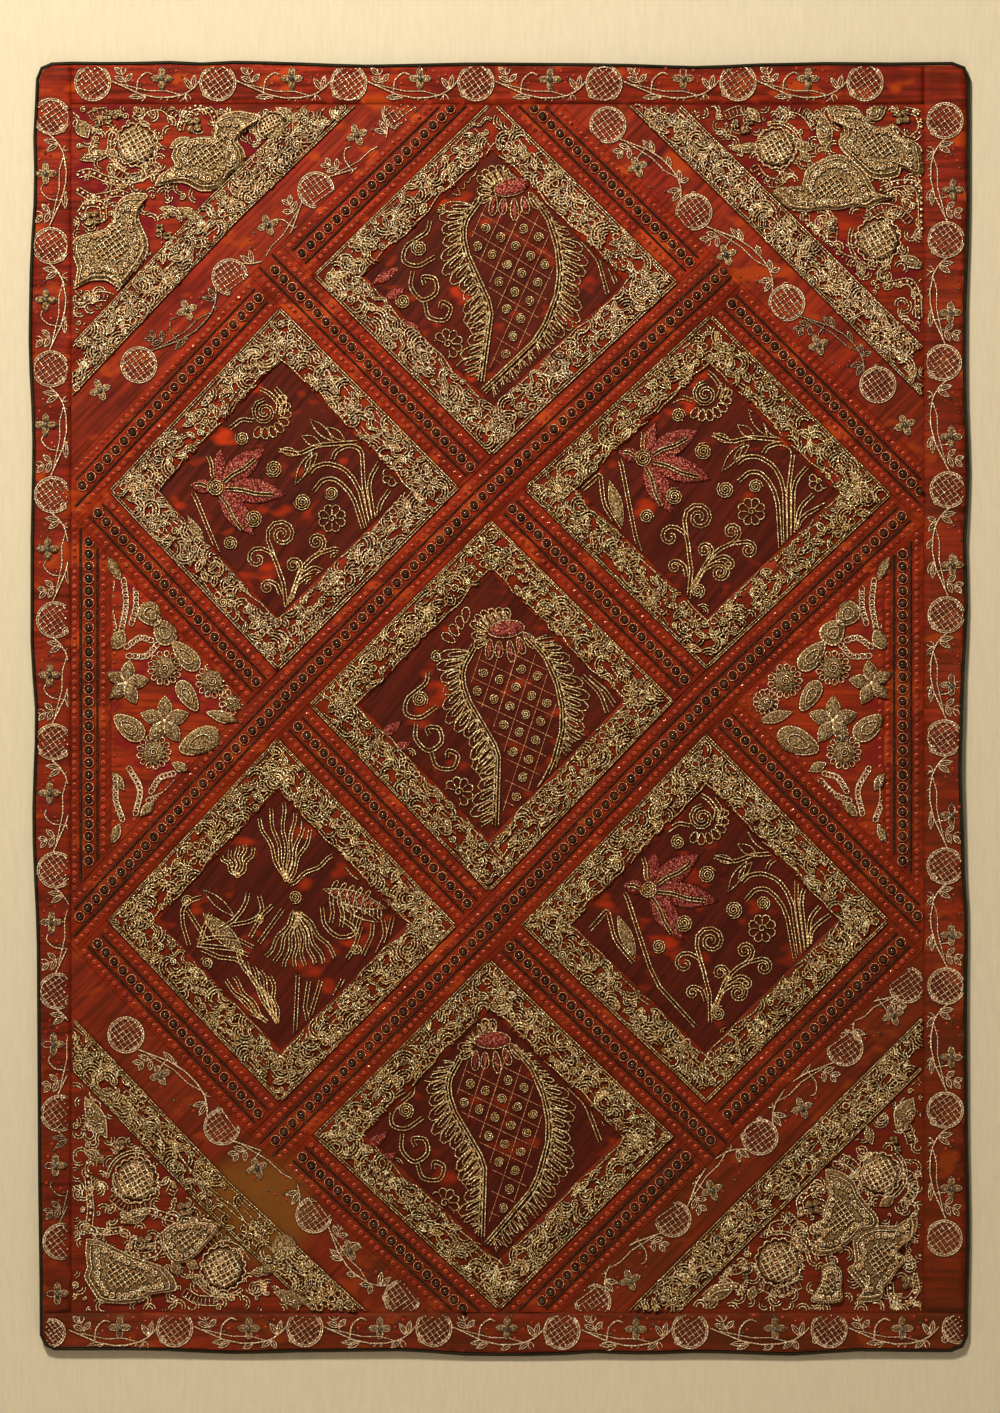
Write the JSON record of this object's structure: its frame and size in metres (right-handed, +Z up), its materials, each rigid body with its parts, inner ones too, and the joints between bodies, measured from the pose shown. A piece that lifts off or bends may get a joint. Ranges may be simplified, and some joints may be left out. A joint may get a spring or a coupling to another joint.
{
  "type": "embroidered patchwork wall hanging",
  "caption": "Rectangular silk patchwork hanging with a lattice of beaded ribbons, padded metal thread frames and panels, velvet corners and a piped edge.",
  "frame": {"origin": "middle of the top edge, at the back of the cloth", "axes": "+X to the right seen from the front, +Z up, the front faces -Y"},
  "size_m": [0.8477, 0.0124, 1.1661],
  "materials": {
    "backing_cloth": "dark green-black cotton backing",
    "piping_silk": "dark green-black silk piping",
    "border_silk": "shot orange-red silk, worn",
    "ribbon_silk": "red-orange silk",
    "panel_silk": "dark maroon silk with orange-red patches",
    "crimson_velvet": "crimson velvet",
    "gold_thread": "tarnished gold and silver-gilt thread",
    "glass_beads": "dark smoky glass beads"
  },
  "bodies": {
    "root": {"ground_cloth": "backing_cloth", "edge_piping": "piping_silk", "border_left": "border_silk", "border_right": "border_silk", "border_top": "border_silk", "border_bottom": "border_silk", "ribbon_rise_1_lower": "ribbon_silk", "ribbon_rise_1_upper": "ribbon_silk", "ribbon_rise_2": "ribbon_silk", "ribbon_rise_3": "ribbon_silk", "ribbon_rise_4_lower": "ribbon_silk", "ribbon_rise_4_upper": "ribbon_silk", "ribbon_fall_1_upper": "ribbon_silk", "ribbon_fall_1_lower": "ribbon_silk", "ribbon_fall_2_upper": "ribbon_silk", "ribbon_fall_2_middle": "ribbon_silk", "ribbon_fall_2_lower": "ribbon_silk", "ribbon_fall_3_upper": "ribbon_silk", "ribbon_fall_3_middle": "ribbon_silk", "ribbon_fall_3_lower": "ribbon_silk", "ribbon_fall_4_upper": "ribbon_silk", "ribbon_fall_4_lower": "ribbon_silk", "ribbon_upright_left": "ribbon_silk", "ribbon_upright_right": "ribbon_silk", "gold_frame_top": "gold_thread", "gold_frame_upper_left": "gold_thread", "gold_frame_upper_right": "gold_thread", "gold_frame_centre": "gold_thread", "gold_frame_lower_left": "gold_thread", "gold_frame_lower_right": "gold_thread", "gold_frame_bottom": "gold_thread", "motif_panel_top": "panel_silk", "motif_panel_upper_left": "panel_silk", "motif_panel_upper_right": "panel_silk", "motif_panel_centre": "panel_silk", "motif_panel_lower_left": "panel_silk", "motif_panel_lower_right": "panel_silk", "motif_panel_bottom": "panel_silk", "half_diamond_left": "crimson_velvet", "half_diamond_right": "crimson_velvet", "roundel_strip_top_left": "border_silk", "roundel_strip_top_right": "border_silk", "roundel_strip_bottom_left": "border_silk", "roundel_strip_bottom_right": "border_silk", "gold_band_top_left": "gold_thread", "gold_band_top_right": "gold_thread", "gold_band_bottom_left": "gold_thread", "gold_band_bottom_right": "gold_thread", "velvet_corner_top_left": "crimson_velvet", "velvet_corner_top_right": "crimson_velvet", "velvet_corner_bottom_left": "crimson_velvet", "velvet_corner_bottom_right": "crimson_velvet"}
  },
  "joints": []
}
